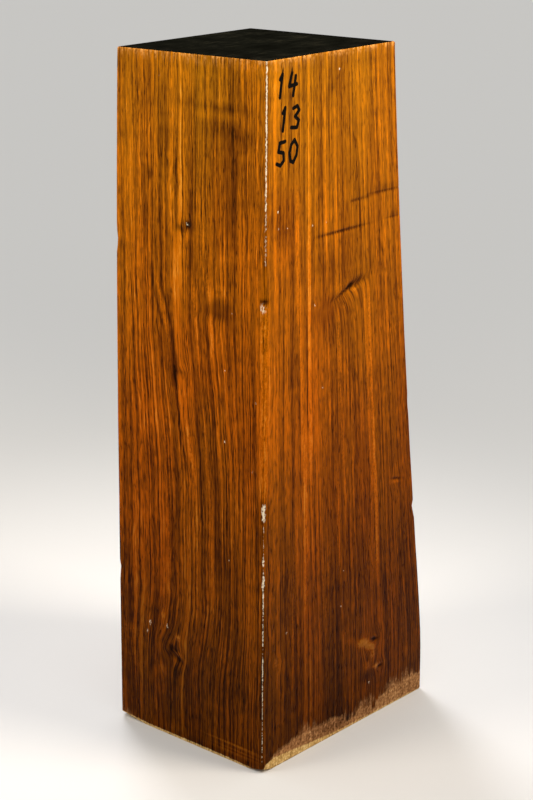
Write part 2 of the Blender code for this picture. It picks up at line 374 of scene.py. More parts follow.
# How the tree grew. The pith lies behind and left of the blank, so its rings cross both plumb faces.
growth = {
    "pith": (-200.0, 320.0),  # mm across and deep from the near arris
    "leftDrift": 11.0,  # mm that the grain of the left face swings towards the near arris
    "driftFrom": (335.0, 185.0),  # mm up, where the swing starts and is full
    "driftTo": (115.0, 50.0),  # and where it swings back,
    "swingBack": 0.75,  # by this share of it
    "driftWidth": 138.0,  # mm of the left face that it takes in
    "aroundPith": 340.0,  # mm from the pith, where a distance round it is measured
    # how many mm deep into the wood the drift, the sways, a knot and a mark reach
    "reachIn": {"drift": 60.0, "sway": 12.0, "knot": 25.0, "mark": 6.0},
    # the left face shows the grain swaying: mm aside, mm up from one sway to the next, turns per mm deep
    "sways": ((0.30, 67.0, 0.031), (0.16, 23.0, 0.083)),
    "contrast": (1.15, 0.74),  # how strongly the grain shows at the foot and at the top, where it is weakened as a painted sheen
    "calmFront": 0.24,  # share by which it is weaker on the front face, cut further from the rings
    # brown stains, where the grain shows less: mm across and up, half width, half height
    "stains": {"left": ((41, 328, 9, 6), (29, 320, 7, 5)), "front": ((62, 322, 12, 7),)},
    "stainContrast": 0.25,  # share of the contrast that is left in them
    # knots: "at" and "reach" are mm across and up. The grain parts round a knot by "bulge" mm, or
    # is pushed aside by "shift" mm above it (side 1) or below it (side -1), on a line that may tilt,
    # and "turn" is how many radians it swirls.
    "knots": (
        dict(face="front", at=(84, 334), reach=(19, 12), shift=9.0, side=-1, tilt=0.33),
        dict(face="front", at=(146, 181), reach=(6, 5), shift=2.0, side=-1, bulge=1.5),
        dict(face="front", at=(122, 60), reach=(9, 8), shift=1.5, side=-1, bulge=4.0),
        dict(face="front", at=(131, 37), reach=(6, 6), bulge=2.5),
        dict(face="front", at=(14, 79), reach=(6, 5), bulge=2.0),
        dict(face="left", at=(50, 322), reach=(12, 22), shift=-2.5, side=-1),
        dict(face="left", at=(72, 380), reach=(5, 6), bulge=2.0),
        dict(face="left", at=(86, 67), reach=(11, 10), shift=-2.0, side=1, bulge=5.0, turn=0.3),
        dict(face="left", at=(76, 280), reach=(8, 8), bulge=2.0, turn=0.2),
    ),
    "knotLine": 0.2,  # how soft that line is, in reaches
    "knotFade": 1.1,  # how fast the shift fades away from it
    "knotBulge": 1.6,  # a bulge is weakened by the fading round its knot, and this makes up for it
    # streaks along the grain: half width, how much lighter or darker, then mm across and up
    "streaks": {
        "front": (
            (2.4, 0.24, (31, 412), (33, 350), (37, 287), (41, 240), (45, 160), (46, 105)),
            (2.6, 0.20, (43, 408), (45, 322), (47, 250), (49, 200)),
            (1.8, 0.34, (108, 331), (113, 270), (120, 200), (124, 160), (126, 112)),
            (1.4, 0.24, (75, 328), (79, 270), (84, 205)),
            (1.2, 0.22, (103, 335), (108, 270), (114, 205)),
            (1.8, 0.16, (116, 204), (121, 88)),
            (1.8, 0.14, (77, 215), (82, 129)),
            (1.6, 0.14, (87, 202), (88, 148)),
            (1.8, 0.14, (88, 84), (88, 46)),
            (1.5, 0.12, (144, 128), (147, 48)),
            (1.5, 0.12, (157, 108), (160, 52)),
            (2.0, 0.10, (33, 195), (33, 70)),
            (1.0, -0.24, (32, 323), (36, 248)),
            (1.0, -0.20, (42, 327), (46, 248)),
            (0.9, -0.16, (12.5, 425), (12.5, 350)),
            (1.0, -0.18, (54, 500), (55, 392)),
            (1.0, -0.18, (96, 310), (104, 205)),
            (0.9, -0.20, (69, 352), (72, 228)),
        ),
        "left": (
            (1.1, -0.24, (108.6, 485), (108.6, 362)),
            (1.1, -0.24, (80, 428), (80, 375)),
            (1.2, -0.24, (67, 466), (67, 340)),
            (0.9, -0.24, (80.5, 268), (77, 240), (73, 216)),
            (0.8, -0.30, (104, 345), (97, 322), (93, 306)),
            (0.8, -0.30, (95, 345), (90, 325), (84, 306)),
            (1.3, 0.26, (98, 340), (92, 318), (87, 300)),
            (1.3, 0.30, (52, 352), (48, 322), (46, 300)),
            (7.0, 0.06, (71, 450), (71, 358)),
            (4.5, 0.08, (34, 450), (34, 372)),
            (1.1, -0.26, (83, 300), (81, 275), (79, 255), (76, 232), (72, 208)),
            (0.9, -0.28, (76, 262), (72, 235), (66, 205)),
            (0.9, -0.20, (88, 330), (84, 300), (83, 270)),
            (2.2, 0.24, (78, 262), (70, 235), (63, 205)),
            (2.0, 0.20, (66, 350), (62, 320), (60, 290)),
            (2.0, 0.16, (56, 255), (49, 190), (48, 120)),
            (1.8, 0.14, (70, 235), (62, 180), (62, 100)),
            (2.0, 0.14, (92, 250), (88, 190), (89, 110)),
        ),
    },
    "streakEnds": 12.0,  # mm at each end of a streak over which it fades
    # patches: mm across and up, half width, half height, how much lighter or darker, and any tilt
    "patches": {
        "front": (
            # smears and shades near the top
            (66, 478, 6, 9, -0.12),
            (70, 471, 60, 3, -0.08),
            (105, 489, 40, 7, -0.08),
            (45, 451, 2.5, 3.5, -0.25),
            (19, 388, 10, 20, -0.20),
            # shade on the foot
            (90, 7, 26, 2.6, -0.3, -0.08),
            (66, 9, 30, 5, -0.26),
            # cross-grain marks
            (77, 375.5, 24, 1.0, -0.55, 0.02),
            (134, 377, 8, 0.9, -0.35),
            (60, 360.5, 8, 1.0, -0.22),
            (92, 361, 7, 0.9, -0.16, -0.1),
            (94, 394.5, 16, 1.0, -0.34, 0.03),
            (123, 396.5, 17, 1.0, -0.45),
            # broad lighter and darker wood
            (14, 265, 8, 60, 0.04),
            (14, 366, 8, 13, 0.10),
            (31, 120, 7, 48, 0.12),
            (50, 388, 9, 24, -0.07),
            (90, 158, 8, 14, -0.09),
            (90, 258, 8, 20, 0.06),
            (40, 290, 9, 50, -0.05),
            (40, 130, 10, 50, -0.05),
            (70, 285, 11, 50, 0.07),
            (70, 120, 12, 60, 0.10),
            # the larger knot
            (62, 321, 12, 6, -0.30),
            (68, 356, 20, 6, -0.12),
            (82, 333.2, 6, 0.9, -0.65, 0.38),
            (88.5, 336, 3.4, 1.6, -1.0, 0.3),
            (97, 338.4, 7, 2.8, -0.40, 0.05),
            (70, 329.5, 7, 1.6, -0.22, 0.2),
            (94, 333, 4, 1.3, 0.30, 0.2),
            (77, 338, 11, 3, 0.16, 0.1),
            # a smudge, then the small knot near the right arris
            (62, 188, 5, 13, -0.14),
            (146, 181.5, 6, 0.9, -0.45, -0.2),
            (146, 179, 5, 1.2, 0.25, -0.2),
            # the torn knots low down
            (97, 68.5, 5, 2, 0.22, -0.2),
            (111.5, 62, 5.5, 2.8, 1.35, -0.2),
            (120, 57.5, 4, 2.6, 1.1, -0.3),
            (124, 50, 2.0, 5, 0.6),
            (117.5, 42, 3, 3, 0.4),
            (127, 38.5, 3, 1.6, 0.7, -0.2),
            (125, 61.5, 3.5, 0.9, -0.9, -0.15),
            (132, 37.3, 3, 1.0, -0.8),
            (130, 52, 4, 6, 0.14),
            (115, 34, 9, 4, -0.20),
            # small marks
            (14, 79.5, 3, 1.8, 0.28),
            (1.5, 340, 2.2, 1.2, -0.24),
            (56, 352, 7, 0.8, -0.2),
        ),
        "left": (
            # broad lighter and darker wood
            (30, 440, 18, 14, -0.10),
            (27, 412, 22, 36, -0.15),
            (55, 376, 7, 26, 0.14),
            (34, 360, 8, 14, 0.07),
            (126, 52, 9, 16, 0.14),
            (109, 262, 8, 14, -0.08),
            (14, 334, 7, 12, 0.08),
            (20, 472, 12, 12, -0.07),
            (8, 12, 7, 18, -0.10),
            (70, 462, 55, 3, -0.06),
            # a knock in the near arris
            (2, 340, 3.0, 1.5, -0.4),
            # ripples across the grain near the top
            (36, 469, 20, 1.7, 0.14),
            (36, 463.5, 20, 2.0, -0.20),
            (36, 458.5, 20, 1.6, 0.12),
            (36, 448, 22, 6, -0.14),
            # shades beside them, and a painted highlight in the corner at the top
            (18, 444, 6, 4, -0.20),
            (92, 444, 4, 12, -0.12),
            (12, 490, 16, 3, 0.22),
            (12, 245, 9, 55, -0.12),
            # small dark marks and a knot
            (103.5, 413.5, 2.2, 3.0, -0.35),
            (116, 431, 3.5, 1.2, -0.25),
            (76, 378.5, 3.4, 2.2, -0.45, 0.3),
            (68.6, 381.5, 1.7, 2.3, -0.85),
            (71, 374, 5, 3, 0.14),
            # the brown stain
            (41, 328, 8.5, 5.2, -0.68, -0.1),
            (40, 340.5, 9, 4, 0.24),
            (41.5, 340, 2.6, 1.6, -0.3),
            (30, 320, 6.5, 4, -0.36, 0.5),
            # a small knot with a slit, and a pale scratch
            (76, 279.5, 5.5, 1.3, -0.5),
            (80.5, 283, 1.5, 12, -0.42),
            (47, 299.5, 5, 0.7, 0.20, -0.8),
            # the eye low down
            (95, 93.5, 1.6, 2.2, 0.45),
            (80.5, 79.5, 2.2, 2.2, 0.45),
            (84, 70, 4.5, 1.8, -0.28, 0.3),
            (88, 67.5, 1.8, 3.4, -0.22),
            (80, 63.5, 6, 2.2, -0.34, 0.5),
            (80, 67, 3, 1.6, 0.30, 0.3),
            (79, 52, 6, 6, -0.22),
            (97, 52, 5, 4, 0.14),
            # pale bars near the back arris
            (128, 74, 10, 1.6, 0.22),
            (128, 68, 10, 3.5, 0.12),
            # darker wood above the near corner of the foot
            (20, 56, 19, 18, -0.14),
            # splinters along the foot
            (25, 13.5, 26, 0.8, 0.5, 0.02),
            (20, 10.2, 20, 0.6, 0.29),
            (24, 7, 20, 0.7, 0.42),
        ),
    },
    # redder, duller heartwood: mm across and up, half width, half height
    "redPatches": {
        "front": (
            (19, 388, 12, 26),
            (62, 322, 14, 8),
        ),
        "left": (
            (13, 250, 12, 60),
            (26, 405, 26, 48),
            (52, 290, 30, 30),
        ),
    },
}


def rowsOf(table):
    # every row of a table, with the name of its face put first
    return [(face, *row) for face, rows in table.items() for row in rows]


def placesOf(blank):
    # every point in mm from the near bottom corner: across, deep, up
    flat = np.empty(len(blank.data.vertices) * 3, np.float32)
    blank.data.vertices.foreach_get("co", flat)
    return (flat.reshape(-1, 3).astype(float) - (leftPlane, frontPlane, 0)) / mm


def onFace(face, place):
    # distance along the face, distance off it
    across, deep, _ = place.T
    return (across, deep) if face == "front" else (deep, across)


def spotAt(place, face, across, up, halfWidth, halfHeight, tilt=0.0):
    # 1 in the middle of a spot on a face, falling smoothly to 0 round it
    along, off = onFace(face, place)
    aside = along - across
    above = place[:, 2] - up - tilt * aside
    inwards = off / growth["reachIn"]["mark"]
    return np.exp(-((aside / halfWidth) ** 2) - (above / halfHeight) ** 2 - inwards**2)


def streakAt(place, face, halfWidth, *points):
    along, off = onFace(face, place)
    up = place[:, 2]
    ordered = sorted(points, key=lambda p: p[1])
    middle = np.interp(up, [p[1] for p in ordered], [p[0] for p in ordered])
    low, high, fade = ordered[0][1], ordered[-1][1], growth["streakEnds"]
    ends = ease(up, low - fade, low + fade) * ease(up, high + fade, high - fade)
    inwards = off / growth["reachIn"]["mark"]
    return np.exp(-(((along - middle) / halfWidth) ** 2) - inwards**2) * ends


def growthPlaces(place, rings):
    # where each point lay in the growing tree: mm out from the pith, round it and up
    heights, widths, _ = rings.T / mm
    across, deep, up = place.T.copy()
    across = across * widths[-1] / np.interp(up, heights, widths)
    reachIn = growth["reachIn"]
    swing = ease(up, *growth["driftFrom"]) - growth["swingBack"] * ease(up, *growth["driftTo"])
    onLeft = np.exp(-((across / reachIn["drift"]) ** 2))
    drift = growth["leftDrift"] * swing * np.sin(np.pi * np.clip(deep / growth["driftWidth"], 0, 1))
    sway = np.zeros(len(place))
    for aside, length, turns in growth["sways"]:
        sway += aside * np.sin(2 * np.pi * (up / length + turns * deep))
    deep = deep + drift * onLeft + sway * np.exp(-((across / reachIn["sway"]) ** 2))
    for knot in growth["knots"]:
        along, off = onFace(knot["face"], place)
        reachAcross, reachUp = knot["reach"]
        aside = (along - knot["at"][0]) / reachAcross
        above = (up - knot["at"][1] - knot.get("tilt", 0) * (along - knot["at"][0])) / reachUp
        deepIn = np.exp(-((off / reachIn["knot"]) ** 2))
        oneSide = ease(knot.get("side", 1) * above, -growth["knotLine"], growth["knotLine"])
        oneSide *= np.exp(-np.abs(above) * growth["knotFade"])
        moved = knot.get("shift", 0) * np.exp(-(aside**2)) * oneSide
        middle = np.exp(-(aside**2) - above**2)
        moved -= knot.get("bulge", 0) * aside * middle * growth["knotBulge"]
        swirl = knot.get("turn", 0) * middle
        moved += reachAcross * (aside * np.cos(swirl) - above * np.sin(swirl) - aside)
        if knot["face"] == "front":
            across = across + moved * deepIn
        else:
            deep = deep + moved * deepIn
    fromPith = across - growth["pith"][0], deep - growth["pith"][1]
    ring = np.hypot(*fromPith)
    around = np.arctan2(fromPith[1], fromPith[0]) * growth["aroundPith"]
    return np.stack((ring, around, up), 1)


def contrastAt(place):
    across, deep, up = place.T
    foot, top = growth["contrast"]
    towardsFront = across / (across + deep + 0.01)
    contrast = (foot + (top - foot) * up * mm / boxSize.z) * (1 - growth["calmFront"] * towardsFront)
    for stain in rowsOf(growth["stains"]):
        contrast *= 1 - (1 - growth["stainContrast"]) * spotAt(place, *stain)
    return contrast


def figureAt(place):
    # streaks and patches of lighter and darker wood
    figure = easedArrisTone(place)
    for face, halfWidth, tone, *points in rowsOf(growth["streaks"]):
        figure += tone * streakAt(place, face, halfWidth, *points)
    for face, across, up, halfWidth, halfHeight, tone, *tilt in rowsOf(growth["patches"]):
        figure += tone * spotAt(place, face, across, up, halfWidth, halfHeight, *tilt)
    return figure


# Numbers by a felt marker, on the front face: the blank's own size in centimetres
markerNumbers = {
    "rows": ("14", "13", "50"),
    "left": 9.0,  # mm across from the near arris to the first digit
    "indents": (0.0, 3.0, 1.0),
    "top": 486.0,  # mm up to the top of the first row
    "rowPitch": 21.5,
    "digitPitch": 12.0,
    "digitSize": (7.5, 14.5),
    "lean": 0.10,
    "tip": 1.25,  # half the width of the stroke
    "bleed": 0.45,  # mm that its edge is soft, to each side
    "digits": {  # strokes in shares of the digit's width and height
        "0": (
            ((0.55, 1.0), (0.15, 0.8), (0.0, 0.45), (0.2, 0.08), (0.6, 0.0)),
            ((0.6, 0.0), (0.95, 0.3), (1.0, 0.68), (0.55, 1.0)),
        ),
        "1": (((0.35, 0.78), (0.62, 1.0), (0.5, 0.0)),),
        "3": (
            ((0.1, 0.92), (0.6, 1.0), (0.9, 0.8), (0.4, 0.55)),
            ((0.4, 0.55), (0.95, 0.35), (0.75, 0.05), (0.0, 0.08)),
        ),
        "4": (((0.25, 1.0), (0.0, 0.42), (1.0, 0.48)), ((0.78, 0.85), (0.62, 0.0))),
        "5": (
            ((0.9, 1.0), (0.2, 0.96), (0.12, 0.58), (0.8, 0.5)),
            ((0.8, 0.5), (0.9, 0.15), (0.5, -0.04), (0.0, 0.06)),
        ),
    },
}


def distanceToStroke(across, up, start, end):
    span = np.array(end) - np.array(start)
    share = np.clip(((across - start[0]) * span[0] + (up - start[1]) * span[1]) / (span @ span), 0, 1)
    return np.hypot(across - start[0] - share * span[0], up - start[1] - share * span[1])


def inkAt(place):
    # 1 under the marker's strokes on the front face
    look = markerNumbers
    across, deep, up = place.T
    nearest = np.full(len(place), np.inf)
    for row, digits in enumerate(look["rows"]):
        base = look["top"] - row * look["rowPitch"] - look["digitSize"][1]
        for column, digit in enumerate(digits):
            left = look["left"] + look["indents"][row] + column * look["digitPitch"]
            for stroke in look["digits"][digit]:
                points = [
                    (
                        left + x * look["digitSize"][0] + look["lean"] * y * look["digitSize"][1],
                        base + y * look["digitSize"][1],
                    )
                    for x, y in stroke
                ]
                for start, end in zip(points, points[1:]):
                    nearest = np.minimum(nearest, distanceToStroke(across, up, start, end))
    return ease(nearest, look["tip"] + look["bleed"], look["tip"] - look["bleed"]) * (deep < 1)


# Wear, torn fibres and painted highlights, all of them pale
wearAndGlints = {
    # along the near arris: mm up from and to, half width, how pale
    "nearArris": (
        # the first row, from 400 mm to the top, is a painted highlight along the arris, and the second its
        # fainter end; the rest is wear
        (400, 496, 0.7, 0.68),
        (365, 400, 1.0, 0.28),
        (189, 200, 1.7, 0.74),
        (157, 162, 1.0, 0.66),
        (139, 148, 1.2, 0.72),
        (60, 150, 0.6, 0.46),
        (150, 190, 0.5, 0.34),
        (8, 60, 0.45, 0.38),
    ),
    "arrisZone": 14.0,  # mm from the near arris, across and deep together, past which none of it shows
    "wornFade": (3, 2),  # mm outside and inside the end of a worn stretch over which it fades
    "rubbedFrom": (198, 212),  # mm up, where its rubbed stretch of lighter orange starts and is full
    "rubbedTo": (345, 330),  # and where it has ended and is still full
    "rubbedWidth": 4.2,
    "rubbedTone": 0.3,
    # flecks of dry fibre and painted glints: mm across and up, half width, half height
    "flecks": {
        "front": (
            (72, 484, 0.7, 0.7), (12, 398, 0.7, 0.9), (12, 387, 0.8, 0.9), (21, 386, 0.6, 0.6),
            (47, 384, 0.6, 0.7), (61, 384, 0.6, 0.7), (60, 269.5, 0.7, 0.8), (50.5, 329, 0.6, 0.8),
            (87, 127, 0.6, 0.7), (25, 99, 0.9, 0.6), (85, 100, 0.7, 0.6), (120, 28, 0.9, 0.9),
        ),
        "left": (
            # the first, at the knock in the near arris, is a painted glint
            (2.6, 335.5, 1.9, 3.0), (94, 478, 0.6, 0.7), (8, 270, 0.7, 0.9), (35.5, 287, 0.6, 0.9),
            (29, 327.5, 0.6, 0.8), (35.5, 237, 0.8, 1.1), (10.7, 221, 0.7, 0.9), (31, 152, 0.6, 0.7),
            # the fleck at 382 mm up, on the dark knot, is a painted glint
            (69.5, 382, 0.8, 1.2), (108, 83.5, 0.9, 2.2), (110.5, 76.5, 0.7, 2.0), (91, 86, 0.8, 1.8),
        ),
    },
    "fleckPale": 0.5,
    # torn grain in the lower knots: mm across and up, half width, half height
    "tornKnots": {
        "front": (
            (112, 62.3, 4.2, 1.9),
            (118.5, 58.5, 2.6, 2.0),
            (123, 51, 1.8, 4.0),
            (127.5, 39.5, 2.6, 1.8),
            (13.5, 79.5, 1.6, 1.3),
        ),
        "left": ((80.5, 79.5, 1.8, 2.2),),
    },
    "tornPale": 0.34,
    "fringe": 2.8,  # mm down from the top saw cut that its edge is frayed
}


def wearAndGlintsAt(place):
    across, deep, up = place.T
    offArris = np.where(across + deep < wearAndGlints["arrisZone"], np.abs(across - deep), np.inf)
    outside, inside = wearAndGlints["wornFade"]
    worn = np.zeros(len(place))
    for low, high, halfWidth, pale in wearAndGlints["nearArris"]:
        ends = ease(up, low - outside, low + inside) * ease(up, high + outside, high - inside)
        worn = np.maximum(worn, pale * ends * np.exp(-((offArris / halfWidth) ** 2)))
    for fleck in rowsOf(wearAndGlints["flecks"]):
        worn = np.maximum(worn, wearAndGlints["fleckPale"] * spotAt(place, *fleck))
    return worn


def easedArrisTone(place):
    # the rubbed stretch of the near arris is a lighter orange
    across, deep, up = place.T
    stretch = ease(up, *wearAndGlints["rubbedFrom"]) * ease(up, *wearAndGlints["rubbedTo"])
    return wearAndGlints["rubbedTone"] * stretch * np.exp(-(((across + deep) / wearAndGlints["rubbedWidth"]) ** 4))


# The top saw cut is a little out of square
topCut = {
    "height": 495.3,  # mm up the near arris
    "riseAcross": 0.013,
    "fallDeep": 0.0129,
}


def belowTopCut(place):
    # mm down from the top saw cut
    across, deep, up = place.T
    return topCut["height"] + across * topCut["riseAcross"] - deep * topCut["fallDeep"] - up


def frayAt(place):
    # 1 on the fuzzy edge of the top saw cut, and less on torn knots
    fray = np.exp(-((belowTopCut(place) / wearAndGlints["fringe"]) ** 2))
    for knot in rowsOf(wearAndGlints["tornKnots"]):
        fray = np.maximum(fray, wearAndGlints["tornPale"] * spotAt(place, *knot))
    return fray


# The foot was left bare of oil. Each row gives mm across a face and mm up to the edge there.
bareFoot = {
    "bare": {
        "front": (
            (0, 1), (3, 5), (13, 11), (26, 14.5), (45, 16.5), (64, 16), (88, 14.5), (95, 6),
            (104, 9), (108, 13), (120, 10), (126, 6), (132, 12), (140, 14), (168, 16.5), (185, 16),
        ),
        "right": ((0, 16), (139, 10)),
        "back": ((0, 5), (185, 10)),
        "left": ((0, 0.5), (139, 0.5)),
    },
    # above it the oil is thin and patchy
    "thinOil": {
        "front": (
            (0, 0), (34, 14), (41, 22), (57, 22), (63, 14), (100, 12), (109, 18), (121, 19),
            (130, 13), (143, 20), (151, 24), (167, 22), (185, 17),
        ),
        "right": ((0, 18), (60, 22), (139, 12)),
        "back": ((0, 6), (90, 14), (185, 11)),
        "left": ((0, 3), (20, 1), (110, 1), (139, 8)),
    },
    # along the saw cut it is splintered and yellow
    "rim": {
        "front": ((0, 1), (4, 6.0), (12, 8.2), (30, 6.8), (58, 4.4), (90, 2.2), (185, 1.4)),
        "right": ((0, 1), (139, 1)),
        "back": ((0, 1), (185, 2)),
        "left": ((0, 1.0), (20, 2.1), (60, 2.5), (110, 2.3), (139, 4.0)),
    },
    "softness": {"bare": 2.6, "thinOil": 4.0, "rim": 0.9},
}


def belowFootEdge(place, rings, layer):
    # how far below a layer's edge, negative above it, in widths of its soft edge
    heights, widths, depths = rings.T / mm
    across, deep, up = place.T
    away = {
        "front": deep,
        "left": across,
        "right": np.interp(up, heights, widths) - across,
        "back": np.interp(up, heights, depths) - deep,
    }
    edges = []
    for face in away:
        along = across if face in ("front", "back") else deep
        edges.append(np.interp(along, *zip(*bareFoot[layer][face])))
    nearest = np.argmin(list(away.values()), axis=0)
    return (np.choose(nearest, edges) - up) / bareFoot["softness"][layer]


# Relief of the four sides, in mm
relief = {
    "wave": 0.3,  # sanding by hand leaves the faces gently wavy
    "waveLength": 45.0,
    "waveFrom": (0.5, 4),  # mm from each end where the waves start and are full
    "sunk": 1.1,  # at the darkest mark
    "raised": 0.5,  # at the palest mark
    "weakest": 0.28,  # marks fainter or broader than these are only stains
    "broadest": 3.1,
    "rough": 0.4,  # torn fibres of the bare foot and the edge of the top cut
    "roughLength": 2.2,
    "roughAboveBase": (0.3, 1.5),  # mm where it starts and is full
    "roughBelowTop": (0.2, 1.0),
}


def weightPoints(blank, name, weights):
    group = blank.vertex_groups.new(name=name)
    for index in np.flatnonzero(weights > 0.01):
        group.add([int(index)], float(min(weights[index], 1)), "REPLACE")


def shapeRelief(blank, rings):
    # knots, slits and pits are pushed in or out, and the faces are made wavy and, where torn, rough
    place = placesOf(blank)
    marks = np.zeros(len(place))
    for face, across, up, halfWidth, halfHeight, tone, *tilt in rowsOf(growth["patches"]):
        if abs(tone) >= relief["weakest"] and min(halfWidth, halfHeight) < relief["broadest"]:
            marks += tone * spotAt(place, face, across, up, halfWidth, halfHeight, *tilt)
    up, belowTop = place[:, 2], belowTopCut(place)
    sides = ease(up, *relief["waveFrom"]) * ease(belowTop, *relief["waveFrom"])
    torn = np.maximum(ease(belowFootEdge(place, rings, "bare"), 0, 1), frayAt(place))
    torn = np.maximum(torn, np.abs(marks))
    torn *= ease(up, *relief["roughAboveBase"]) * ease(belowTop, *relief["roughBelowTop"])
    for name, weights, strength, length in (
        ("wave", sides, relief["wave"], relief["waveLength"]),
        ("sunk", -marks, -relief["sunk"], 0),
        ("raised", marks, relief["raised"], 0),
        ("rough", torn, relief["rough"], relief["roughLength"]),
    ):
        weightPoints(blank, name, weights)
        push = blank.modifiers.new(name, "DISPLACE")
        push.vertex_group = name
        push.strength = strength * mm
        push.mid_level = 0.0
        if length:
            push.texture = bpy.data.textures.new(name, "CLOUDS")
            push.texture.noise_scale = length * mm
            push.texture_coords = "LOCAL"
            push.mid_level = 0.5
    applyAll(blank)
    print("blank: relief is shaped")


def addField(blank, name, values):
    vector = values.ndim == 2
    field = blank.data.attributes.new(name, "FLOAT_VECTOR" if vector else "FLOAT", "POINT")
    field.data.foreach_set("vector" if vector else "value", values.astype(np.float32).ravel())


def paintFields(blank, rings):
    place = placesOf(blank)
    addField(blank, "grain", growthPlaces(place, rings))
    addField(blank, "figure", figureAt(place))
    addField(blank, "contrast", contrastAt(place))
    addField(blank, "redness", sum(spotAt(place, *row) for row in rowsOf(growth["redPatches"])))
    addField(blank, "worn", wearAndGlintsAt(place))
    for layer in ("bare", "thinOil", "rim"):
        addField(blank, layer, belowFootEdge(place, rings, layer))
    addField(blank, "fray", frayAt(place))
    addField(blank, "ink", inkAt(place))
    print("blank: grain, marks and wear are laid on", len(place), "points")


# Oiled walnut: black walnut, sawn, sanded and wiped with oil, which wets the brown to a deep orange.
# The eye sees thin dark ring lines, streaks a few mm wide, short dark pores and a satin sheen.
oiledWalnut = {
    # noise patterns: mm across the rings, round them and up the grain, then detail
    "patterns": {
        "bands": ((17.0, 90.0, 700.0), 1.0),
        "stripes": ((3.0, 45.0, 560.0), 1.0),
        "lines": ((1.3, 18.0, 150.0), 3.0),
        "fineLines": ((0.5, 8.0, 160.0), 1.0),
        "fibres": ((0.7, 2.2, 9.0), 1.0),
        "clouds": ((26.0, 26.0, 40.0), 3.0),
        "ripple": ((40.0, 40.0, 7.0), 2.0),
        "hairLines": ((2.6, 34.0, 500.0), 1.0),
        "fuzz": ((1.15, 1.15, 2.0), 3.0),
        "tufts": ((1.5, 5.0, 10.0), 3.0),
        "hues": ((20.0, 60.0, 220.0), 2.0),
        "breaks": ((5.0, 12.0, 24.0), 2.0),
        "pores": ((0.8, 1.0, 7.0), 1.0),  # real pores are 0.2 mm wide, drawn wider so that they show
    },
    "patternStep": (5.3, 2.1, 0.0),  # from one pattern to the next, so that no two of them line up
    "patternRoughness": 0.55,
    # pattern or field, where it starts to show and where it shows fully
    "shows": {
        "ringLines": ("stripes", 0.3, 0.62),
        "pores": ("pores", 0.58, 0.70),
        "redder": ("hues", 0.34, 0.66),
        "patchyOil": ("tufts", 0.36, 0.72),
        "wornPatches": ("brokenWearAndGlints", 1.3, 1.75),
        # pale wear, with the painted highlight and glints
        "rubbed": ("worn", 0.05, 0.3),
        "tufts": ("tufts", 0.43, 0.62),
        "flakes": ("fuzz", 0.36, 0.56),
        "ink": ("ink", 0.25, 0.6),
    },
    # how strongly each of these patterns lightens and darkens the wood
    "strengths": {"bands": 0.07, "stripes": 0.22, "clouds": 0.17, "ripple": 0.08},
    "fineStrengths": {"lines": 0.50, "fineLines": 0.28, "fibres": 0.32},
    "breaks": (-0.4, 2.3),  # least and most of the fine grain, which comes and goes along the faces
    "ringWidth": 3.5,  # mm from one growth ring to the next
    "ringWander": 8.0,  # how unevenly the rings are spaced, in rings
    "ringLine": ((0.0, 0.0), (0.10, 0.22), (0.24, 0.78), (0.6, 0.62), (0.86, 0.46), (1.0, 0.0)),
    "ringTone": 0.21,
    "ringToRing": 0.11,
    "hairLineTone": -0.20,  # thin dark lines, drawn where their pattern passes its middle
    "hairLineWidth": 0.04,
    "poreTone": -0.24,
    "mottle": 3.4,  # how rough the pale streaks and torn knots are
    "hues": ("#F7FFF4", "#FFF7EF"),  # the heartwood wanders between olive and red
    "tones": ((0.0, "#241104"), (0.28, "#6A3A08"), (0.5, "#A0620C"), (0.72, "#D8800C"), (1.0, "#F4B04A")),
    # painted shade: the wood is darkened towards the foot as though lit from above; the wood itself is
    # also somewhat darker there
    "heights": (
        (0.0, "#7E6840"),
        (0.12, "#887048"),
        (0.30, "#AC8D64"),
        (0.5, "#D2B18A"),
        (0.75, "#E4CFAC"),
        (1.0, "#EDEDD8"),
    ),
    "raw": (1.35, -0.36, 0.5),  # share of fuzz, shift and share of the grain in the tone of bare wood
    "bare": ((0.0, "#3C200E"), (0.4, "#7C5230"), (0.7, "#A9784A"), (1.0, "#DDB882")),
    "rim": ((0.0, "#4A3016"), (0.5, "#C09858"), (1.0, "#F4DCA0")),
    # edges on the foot: how ragged each one is, and how soft above that, in widths of its soft edge
    "ragged": {"bare": (3.6, 1.3), "thinOil": (4.0, 2.0), "rim": (1.6, 1.0)},
    "raggedLines": 0.5,  # share of the lines of the grain in it, beside the tufts
    "raggedStart": 0.3,  # how far before its middle a cover starts
    "worn": "#EADABB",
    "wornFuzz": 2.2,
    "frayed": "#CC8C46",
    "ink": "#080706",
    "roughness": 0.42,
    "roughnessSpread": 0.22,
    "poresRougher": 0.12,
    "dryRougher": 0.4,
    "ior": 1.47,
    "specular": 0.03,  # kept low, as the pale air would lay a grey haze on the deep orange
    "specularTint": "#FFBC6F",
    "bump": (0.5, 0.2),  # strength, and mm
    "bumpShares": {"fibres": 0.8, "lines": 0.6},
}


